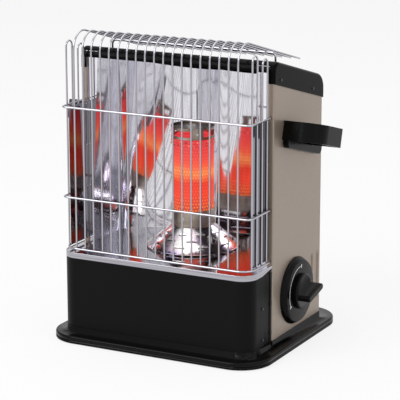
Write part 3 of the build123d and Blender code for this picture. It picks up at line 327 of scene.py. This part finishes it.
# Bands and inner tube: rolled and spot-welded stainless strip round the glowing cylinder.
# The heat has tinted them a dull straw colour in soft clouds.
tinted_steel = bpy.data.materials.new("heat_tinted_stainless_steel")
tinted_steel.use_nodes = True
tinted_shader = tinted_steel.node_tree.nodes["Principled BSDF"]
tinted_shader.inputs["Metallic"].default_value = 1.0
tinted_shader.inputs["Roughness"].default_value = 0.35
place = add_node(tinted_steel, "ShaderNodeTexCoord", {}, {})
tint_cloud = add_node(tinted_steel, "ShaderNodeTexNoise", {"Scale": 1 / 0.018, "Detail": 3.0},
                      {"Vector": place.outputs["Object"]})
tint_colour = add_node(tinted_steel, "ShaderNodeValToRGB", {}, {"Fac": tint_cloud.outputs["Fac"]})
tint_colour.color_ramp.elements[0].position = 0.35
tint_colour.color_ramp.elements[0].color = linear("#8f7f72")
tint_colour.color_ramp.elements[1].position = 0.65
tint_colour.color_ramp.elements[1].color = linear("#b3a89e")
tinted_steel.node_tree.links.new(tint_colour.outputs["Color"], tinted_shader.inputs["Base Color"])
for name in ("burner_collar", "burner_head", "burner_disc", "burner_cup", "mixing_tube"):
    dressed(name, "case", tinted_steel)

# Rolled edges: two round the head band and two round the collar, at the top and the foot of each.
# Each is the strip's own edge turned over, in the same tinted steel.
burner_axis_y = -0.011
edge_roll_radius = 0.0007
edge_places = ((0.2964, 0.0297), (0.2816, 0.0297), (0.1798, 0.0297), (0.1602, 0.0305))
turned_edges = []
for edge_z, edge_radius in edge_places:
    bpy.ops.object.select_all(action="DESELECT")
    bpy.ops.mesh.primitive_torus_add(major_segments=96, minor_segments=10, major_radius=edge_radius,
                                     minor_radius=edge_roll_radius, location=(0, burner_axis_y, edge_z))
    turned_edges.append(bpy.context.object)
bpy.ops.object.select_all(action="DESELECT")
for edge in turned_edges:
    edge.select_set(True)
bpy.context.view_layer.objects.active = turned_edges[0]
bpy.ops.object.join()
rolled_edges = bpy.context.object
rolled_edges.name = "burner_rolled_edges"
bpy.ops.object.transform_apply(location=True, rotation=True, scale=True)
bpy.ops.object.shade_smooth_by_angle(angle=radians(60))
rolled_edges.data.materials.append(tinted_steel)
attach(rolled_edges, "case")

# Glowing cylinder: thin stainless sheet pierced with rows of fine holes and rolled into a tube.
# It glows red, hottest a little above half-way. The holes aren't cut in the mesh: they are brighter dots in the
# material alone, and coarser than the real ones so that they show.
mesh_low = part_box("burner_mesh")[0].z
mesh_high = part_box("burner_mesh")[1].z
tube_radius = 0.0291
tube_wall = 0.0006
dot_pitch = 0.0040
dot_rows = 0.0046
dots_round = round(2 * pi * tube_radius / dot_pitch)
sheet_stops = ((0.0, "#7c3020"), (0.12, "#d9402a"), (0.3, "#f2402c"), (0.46, "#e83a28"),
               (0.6, "#ff7a48"), (0.7, "#f8583c"), (0.8, "#f0483c"), (1.0, "#d8303a"))
hole_stops = ((0.0, "#e08040"), (0.12, "#ff8a48"), (0.3, "#ff5a38"), (0.46, "#f84a30"),
              (0.6, "#ffb060"), (0.7, "#ff7050"), (0.8, "#fa584c"), (1.0, "#f05050"))
glowing = bpy.data.materials.new("glowing_perforated_stainless_steel")
glowing.use_nodes = True
glow_shader = glowing.node_tree.nodes["Principled BSDF"]
glow_shader.inputs["Base Color"].default_value = linear("#2a100a")
glow_shader.inputs["Roughness"].default_value = 0.6
glow_shader.inputs["Emission Strength"].default_value = 1.0
place = add_node(glowing, "ShaderNodeTexCoord", {}, {})
centred = add_node(glowing, "ShaderNodeMapping", {"Location": (0, -burner_axis_y, 0)},
                   {"Vector": place.outputs["Object"]})
spot = add_node(glowing, "ShaderNodeSeparateXYZ", {}, {0: centred.outputs["Vector"]})
round_angle = add_node(glowing, "ShaderNodeMath", {"operation": "ARCTAN2"},
                       {0: spot.outputs["Y"], 1: spot.outputs["X"]})
across = add_node(glowing, "ShaderNodeMath", {"operation": "MULTIPLY", 1: dots_round / (2 * pi)},
                  {0: round_angle.outputs[0]})
row = add_node(glowing, "ShaderNodeMath", {"operation": "MULTIPLY", 1: 1 / dot_rows}, {0: spot.outputs["Z"]})
row_number = add_node(glowing, "ShaderNodeMath", {"operation": "FLOOR"}, {0: row.outputs[0]})
stagger = add_node(glowing, "ShaderNodeMath", {"operation": "MULTIPLY_ADD", 1: 0.5},
                   {0: row_number.outputs[0], 2: across.outputs[0]})
across_part = add_node(glowing, "ShaderNodeMath", {"operation": "FRACT"}, {0: stagger.outputs[0]})
row_part = add_node(glowing, "ShaderNodeMath", {"operation": "FRACT"}, {0: row.outputs[0]})
cell = add_node(glowing, "ShaderNodeCombineXYZ", {}, {"X": across_part.outputs[0], "Y": row_part.outputs[0]})
from_hole = add_node(glowing, "ShaderNodeVectorMath", {"operation": "DISTANCE", 1: (0.5, 0.5, 0)},
                     {0: cell.outputs[0]})
hole = add_node(glowing, "ShaderNodeMapRange", {"From Min": 0.36, "From Max": 0.18},
                {"Value": from_hole.outputs["Value"]})
height = add_node(glowing, "ShaderNodeMapRange", {"From Min": mesh_low, "From Max": mesh_high},
                  {"Value": spot.outputs["Z"]})
patch = add_node(glowing, "ShaderNodeTexNoise", {"Scale": 1 / 0.02, "Detail": 2.0},
                 {"Vector": centred.outputs["Vector"]})
drift = add_node(glowing, "ShaderNodeMath", {"operation": "MULTIPLY_ADD", 1: 0.12},
                 {0: patch.outputs["Fac"], 2: height.outputs["Result"]})
sheet_heat = add_node(glowing, "ShaderNodeValToRGB", {}, {"Fac": drift.outputs[0]})
hole_heat = add_node(glowing, "ShaderNodeValToRGB", {}, {"Fac": drift.outputs[0]})
for ramp, stops in ((sheet_heat.color_ramp, sheet_stops), (hole_heat.color_ramp, hole_stops)):
    for stop, (at, code) in enumerate(stops):
        point = ramp.elements[stop] if stop < 2 else ramp.elements.new(at)
        point.position = at
        point.color = linear(code)
heat = add_node(glowing, "ShaderNodeMix", {"data_type": "RGBA"}, {0: hole.outputs["Result"],
                6: sheet_heat.outputs["Color"], 7: hole_heat.outputs["Color"]})
glowing.node_tree.links.new(heat.outputs[2], glow_shader.inputs["Emission Color"])
dressed("burner_core", "case", glowing)

bpy.ops.object.select_all(action="DESELECT")
bpy.ops.mesh.primitive_cylinder_add(vertices=96, radius=tube_radius, depth=mesh_high - mesh_low,
                                    end_fill_type="NOTHING",
                                    location=(0, burner_axis_y, (mesh_low + mesh_high) / 2))
tube = bpy.context.object
tube.name = "burner_tube"
bpy.ops.object.transform_apply(location=True, rotation=True, scale=True)
rolled = tube.modifiers.new("rolled", "SOLIDIFY")
rolled.thickness = tube_wall
rolled.offset = -1
bpy.ops.object.modifier_apply(modifier="rolled")
bpy.ops.object.shade_smooth_by_angle(angle=radians(40))
tube.data.materials.append(glowing)
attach(tube, "case")
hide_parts("burner_mesh")

# Beads: small domes punched out round the tube, in two rows under the head and one above the collar.
# They are the tube's own steel, mottled from dark to red-hot.
bead_radius = 0.0014
bead_sunk = 0.0003
bead_places = ((0.2775, 22, 0.0), (0.2725, 22, 0.5), (0.1845, 22, 0.25))
bead_steel = bpy.data.materials.new("red_hot_punched_steel")
bead_steel.use_nodes = True
bead_shader = bead_steel.node_tree.nodes["Principled BSDF"]
bead_shader.inputs["Base Color"].default_value = linear("#5a3a34")
bead_shader.inputs["Metallic"].default_value = 1.0
bead_shader.inputs["Roughness"].default_value = 0.4
bead_shader.inputs["Emission Strength"].default_value = 1.0
place = add_node(bead_steel, "ShaderNodeTexCoord", {}, {})
mottle = add_node(bead_steel, "ShaderNodeTexNoise", {"Scale": 1 / 0.004, "Detail": 1.0},
                  {"Vector": place.outputs["Object"]})
bead_heat = add_node(bead_steel, "ShaderNodeValToRGB", {}, {"Fac": mottle.outputs["Fac"]})
bead_heat.color_ramp.elements[0].position = 0.4
bead_heat.color_ramp.elements[0].color = linear("#6a1a18")
bead_heat.color_ramp.elements[1].position = 0.62
bead_heat.color_ramp.elements[1].color = linear("#ff8060")
bead_steel.node_tree.links.new(bead_heat.outputs["Color"], bead_shader.inputs["Emission Color"])
bpy.ops.object.select_all(action="DESELECT")
bpy.ops.mesh.primitive_uv_sphere_add(segments=10, ring_count=6, radius=bead_radius,
                                     location=(tube_radius, 0, 0))
first_bead = bpy.context.object
bpy.ops.object.transform_apply(location=True, rotation=True, scale=True)
bpy.ops.object.mode_set(mode="EDIT")
bpy.ops.mesh.select_all(action="SELECT")
bpy.ops.mesh.bisect(plane_co=(tube_radius - bead_sunk, 0, 0), plane_no=(1, 0, 0), clear_inner=True,
                    use_fill=True)
bpy.ops.object.mode_set(mode="OBJECT")
beads = []
for bead_row_z, count, turn in bead_places:
    for i in range(count):
        bead = first_bead.copy()
        bead.data = first_bead.data.copy()
        bpy.context.collection.objects.link(bead)
        bead.matrix_world = (Matrix.Translation((0, burner_axis_y, bead_row_z))
                             @ Matrix.Rotation(2 * pi * (i + turn) / count, 4, "Z"))
        beads.append(bead)
bpy.data.objects.remove(first_bead)
bpy.ops.object.select_all(action="DESELECT")
for bead in beads:
    bead.select_set(True)
bpy.context.view_layer.objects.active = beads[0]
bpy.ops.object.join()
bead_rows = bpy.context.object
bead_rows.name = "burner_beads"
bpy.ops.object.transform_apply(location=True, rotation=True, scale=True)
bpy.ops.object.shade_smooth_by_angle(angle=radians(50))
bead_rows.data.materials.append(bead_steel)
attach(bead_rows, "case")

# Handles and dial plate: black phenolic resin, moulded in a hot press and bolted to the body's sides.
# The resin takes the mould's polish, so it is glossy, with a faint mottle.
black_phenolic = bpy.data.materials.new("moulded_black_phenolic")
black_phenolic.use_nodes = True
handle_shader = black_phenolic.node_tree.nodes["Principled BSDF"]
handle_shader.inputs["Base Color"].default_value = linear("#090909")
handle_shader.inputs["Specular IOR Level"].default_value = 0.09
place = add_node(black_phenolic, "ShaderNodeTexCoord", {}, {})
mould_mottle = add_node(black_phenolic, "ShaderNodeTexNoise", {"Scale": 1 / 0.004, "Detail": 3.0},
                        {"Vector": place.outputs["Object"]})
mould_gloss = add_node(black_phenolic, "ShaderNodeMapRange", {"To Min": 0.18, "To Max": 0.34},
                       {"Value": mould_mottle.outputs["Fac"]})
black_phenolic.node_tree.links.new(mould_gloss.outputs["Result"], handle_shader.inputs["Roughness"])
for name in ("handle_left", "handle_right", "dial_plate"):
    dressed(name, "case", black_phenolic)

# Control knob: hub and grip moulded in one piece of black ABS, pushed on a steel spindle.
# The spark-eroded mould leaves a fine satin grain. The canister's saddles, the tilt switch and the igniter's
# housing are moulded from the same ABS.
knob_abs = bpy.data.materials.new("moulded_black_abs")
knob_abs.use_nodes = True
knob_shader = knob_abs.node_tree.nodes["Principled BSDF"]
knob_shader.inputs["Base Color"].default_value = linear("#0a0a0b")
knob_shader.inputs["Specular IOR Level"].default_value = 0.12
place = add_node(knob_abs, "ShaderNodeTexCoord", {}, {})
spark_grain = add_node(knob_abs, "ShaderNodeTexNoise", {"Scale": 1 / 0.0006},
                       {"Vector": place.outputs["Object"]})
spark_gloss = add_node(knob_abs, "ShaderNodeMapRange", {"To Min": 0.24, "To Max": 0.36},
                       {"Value": spark_grain.outputs["Fac"]})
knob_abs.node_tree.links.new(spark_gloss.outputs["Result"], knob_shader.inputs["Roughness"])
dressed("control_knob", "knob", knob_abs)
for name in ("bay_saddles", "tilt_switch", "piezo_igniter"):
    dressed(name, "case", knob_abs)

# Dial scale: an arc with a plain mark at each end in white ink, screen-printed on the dial plate.
# The mesh of the screen leaves the ink a little uneven, so its gloss varies.


def one_colour_finish(name, code, metallic, grain_size, gloss_low, gloss_high):
    """Material of one colour whose roughness varies between two values with a grain of a real size."""
    finish = bpy.data.materials.new(name)
    finish.use_nodes = True
    shader = finish.node_tree.nodes["Principled BSDF"]
    shader.inputs["Base Color"].default_value = linear(code)
    shader.inputs["Metallic"].default_value = metallic
    place = add_node(finish, "ShaderNodeTexCoord", {}, {})
    grain = add_node(finish, "ShaderNodeTexNoise", {"Scale": 1 / grain_size},
                     {"Vector": place.outputs["Object"]})
    gloss = add_node(finish, "ShaderNodeMapRange", {"To Min": gloss_low, "To Max": gloss_high},
                     {"Value": grain.outputs["Fac"]})
    finish.node_tree.links.new(gloss.outputs["Result"], shader.inputs["Roughness"])
    return finish


white_print = one_colour_finish("screen_printed_white_ink", "#e2e2e0", 0.0, 0.001, 0.45, 0.6)
dressed("dial_scale", "case", white_print)

# Rivets, hinge pins, burner screws, spindle and flame sensor: headed or turned steel.
# They are tumbled and plated with bright zinc, which leaves a slightly uneven shine.
plated_steel = one_colour_finish("zinc_plated_steel", "#c4c4c2", 1.0, 0.002, 0.22, 0.36)
dressed("knob_spindle", "knob", plated_steel)
for name in ("plate_rivets", "hinge_pins", "burner_screws", "flame_sensor"):
    dressed(name, "case", plated_steel)

# Case screws: small tapered heads on the front panel and the cap, here without their recess.
# They are zinc-plated steel, passivated black to match the paint, and the film varies from head to head.
black_plate = bpy.data.materials.new("black_zinc_plated_steel")
black_plate.use_nodes = True
screw_shader = black_plate.node_tree.nodes["Principled BSDF"]
screw_shader.inputs["Metallic"].default_value = 1.0
screw_shader.inputs["Roughness"].default_value = 0.3
place = add_node(black_plate, "ShaderNodeTexCoord", {}, {})
plate_cloud = add_node(black_plate, "ShaderNodeTexNoise", {"Scale": 1 / 0.001},
                       {"Vector": place.outputs["Object"]})
plate_colour = add_node(black_plate, "ShaderNodeValToRGB", {}, {"Fac": plate_cloud.outputs["Fac"]})
plate_colour.color_ramp.elements[0].color = linear("#1c1c1e")
plate_colour.color_ramp.elements[1].color = linear("#56565a")
black_plate.node_tree.links.new(plate_colour.outputs["Color"], screw_shader.inputs["Base Color"])
for name in ("panel_screws", "cap_screws"):
    dressed(name, "case", black_plate)

# Valve, governor, gas pipe and heat panel: aluminium, cast for the housings, drawn and pressed for the rest.
# All are drawn here with the castings' dull grey skin.
cast_aluminium = one_colour_finish("die_cast_aluminium", "#a8aaac", 1.0, 0.0015, 0.42, 0.6)
for name in ("gas_valve", "governor", "gas_pipe", "heat_panel"):
    dressed(name, "case", cast_aluminium)

# Gas nozzle and pipe nuts: brass turned from bar and screwed on the pipe's ends.
# Fine tool marks keep the yellow metal from being a clean mirror.
turned_brass = one_colour_finish("turned_brass", "#c9a24e", 1.0, 0.001, 0.2, 0.32)
for name in ("gas_nozzle", "pipe_nuts"):
    dressed(name, "case", turned_brass)

# Governor magnet and cover catch: sintered ferrite, ground flat where it holds.
# It is dark grey and dull, like fired clay.
ferrite = one_colour_finish("sintered_ferrite_magnet", "#2b2b2d", 0.0, 0.0008, 0.5, 0.65)
for name in ("governor_magnet", "cover_catch"):
    dressed(name, "case", ferrite)

# Gas canister: tinned steel can with rolled seams, lying on its side in the bay.
# It is left bare and unprinted, and the tin varies softly in its shine.
tinplate = one_colour_finish("bare_tinplate", "#c9c9c6", 1.0, 0.01, 0.22, 0.38)
dressed("canister", "gas_can", tinplate)

# Canister cover: steel pressed into a shallow shell with air slots, hung on two hinges.
# It is painted in the same satin black as the front panel.
dressed("canister_cover", "cover", satin_black)

# Igniter electrode: a rod of alumina ceramic, glazed white and fired, that stands beside the burner.
# The glaze is smooth and shiny.
glazed_ceramic = one_colour_finish("glazed_alumina_ceramic", "#e6e2d8", 0.0, 0.002, 0.15, 0.26)
dressed("igniter_electrode", "case", glazed_ceramic)

# Igniter lead: copper wire in extruded red silicone rubber, from the piezo igniter to the electrode.
# Silicone is matt and stands the heat.
red_silicone = one_colour_finish("red_silicone_rubber", "#9c2a1c", 0.0, 0.001, 0.5, 0.65)
dressed("igniter_lead", "case", red_silicone)

# Floor: a wide sheet of white studio paper, which is not part of the heater.
# Seen directly or in polished metal it adds some light of its own, so that it reads as white.
floor_brightness = 0.82
bpy.ops.object.select_all(action="DESELECT")
bpy.ops.mesh.primitive_plane_add(size=60, location=(0, 0, 0))
floor = bpy.context.object
floor.name = "studio_floor"
floor_paper = bpy.data.materials.new("white_studio_paper")
floor_paper.use_nodes = True
paper_shader = floor_paper.node_tree.nodes["Principled BSDF"]
paper_shader.inputs["Base Color"].default_value = linear("#f2f2f2")
paper_shader.inputs["Roughness"].default_value = 0.9
paper_shader.inputs["Specular IOR Level"].default_value = 0.1
paper_glow = add_node(floor_paper, "ShaderNodeEmission", {"Color": (1, 1, 1, 1), "Strength": 1.0}, {})
paper_ray = add_node(floor_paper, "ShaderNodeLightPath", {}, {})
paper_seen = add_node(floor_paper, "ShaderNodeMath", {"operation": "MAXIMUM"},
                      {0: paper_ray.outputs["Is Camera Ray"], 1: paper_ray.outputs["Is Glossy Ray"]})
paper_share = add_node(floor_paper, "ShaderNodeMath", {"operation": "MULTIPLY", 1: floor_brightness},
                       {0: paper_seen.outputs[0]})
paper_mix = add_node(floor_paper, "ShaderNodeMixShader", {}, {0: paper_share.outputs[0],
                     1: paper_shader.outputs["BSDF"], 2: paper_glow.outputs["Emission"]})
floor_paper.node_tree.links.new(paper_mix.outputs["Shader"],
                                floor_paper.node_tree.nodes["Material Output"].inputs["Surface"])
floor.data.materials.append(floor_paper)

# Studio sky: white to the eye and through glass, and half as bright as a light on the heater.
# Polished metal sees it darker towards the left, as beside a dark wall.
world = bpy.data.worlds.new("studio_sky")
bpy.context.scene.world = world
world.use_nodes = True
sky = world.node_tree.nodes["Background"]
sky.inputs["Color"].default_value = (1, 1, 1, 1)
ray = add_node(world, "ShaderNodeLightPath", {}, {})
seen = add_node(world, "ShaderNodeMath", {"operation": "MAXIMUM"},
                {0: ray.outputs["Is Camera Ray"], 1: ray.outputs["Is Transmission Ray"]})
reach = add_node(world, "ShaderNodeTexCoord", {}, {})
heading = add_node(world, "ShaderNodeSeparateXYZ", {}, {0: reach.outputs["Generated"]})
wall = add_node(world, "ShaderNodeMapRange",
                {"From Min": -1.0, "From Max": -0.5, "To Min": 0.3, "To Max": 1.0,
                 "interpolation_type": "SMOOTHSTEP"},
                {"Value": heading.outputs["X"]})
shiny = add_node(world, "ShaderNodeMath", {"operation": "MULTIPLY"},
                 {0: ray.outputs["Is Glossy Ray"], 1: wall.outputs["Result"]})
bright = add_node(world, "ShaderNodeMath", {"operation": "MAXIMUM"},
                  {0: seen.outputs[0], 1: shiny.outputs[0]})
level = add_node(world, "ShaderNodeMath", {"operation": "MAXIMUM", 1: 0.5}, {0: bright.outputs[0]})
world.node_tree.links.new(level.outputs[0], sky.inputs["Strength"])

# Lamps: three large soft panels, in front at the left, at the right and overhead.
# Each is aimed at the middle of the heater.
lamp_aim = Vector((0, 0, 0.2))
for name, place, power, size in (("key_panel", (-1.2, -2.6, 2.4), 68, 2.2),
                                 ("side_panel", (2.8, -0.6, 1.8), 9, 2.0),
                                 ("top_panel", (-0.2, 0.4, 3.0), 26, 2.5)):
    bpy.ops.object.light_add(type="AREA", location=place)
    lamp = bpy.context.object
    lamp.name = name
    lamp.data.energy = power
    lamp.data.size = size
    lamp.rotation_euler = (lamp_aim - Vector(place)).to_track_quat("-Z", "Y").to_euler()

# Camera: placed where the photograph was taken from, as fitted to the heater's edges in it.
# Its focal length is in pixels of a 400-pixel frame.
camera_azimuth = radians(27.65)
camera_elevation = radians(13.95)
camera_roll = radians(-0.09)
camera_distance = 2.674
camera_target = Vector((0.00668, -0.003, 0.18909))
focal_pixels = 1916.97
frame_pixels = 400
sensor = 36.0
bpy.ops.object.camera_add()
camera = bpy.context.object
camera.name = "photo_camera"
toward = Vector((sin(camera_azimuth) * cos(camera_elevation),
                 -cos(camera_azimuth) * cos(camera_elevation), sin(camera_elevation)))
camera.location = camera_target + toward * camera_distance
camera.rotation_euler = (toward.to_track_quat("Z", "Y").to_matrix()
                         @ Matrix.Rotation(camera_roll, 3, "Z")).to_euler()
camera.data.sensor_width = sensor
camera.data.lens = focal_pixels / frame_pixels * sensor
camera.data.clip_end = 100
bpy.context.scene.camera = camera
bpy.context.scene.view_settings.view_transform = "Standard"
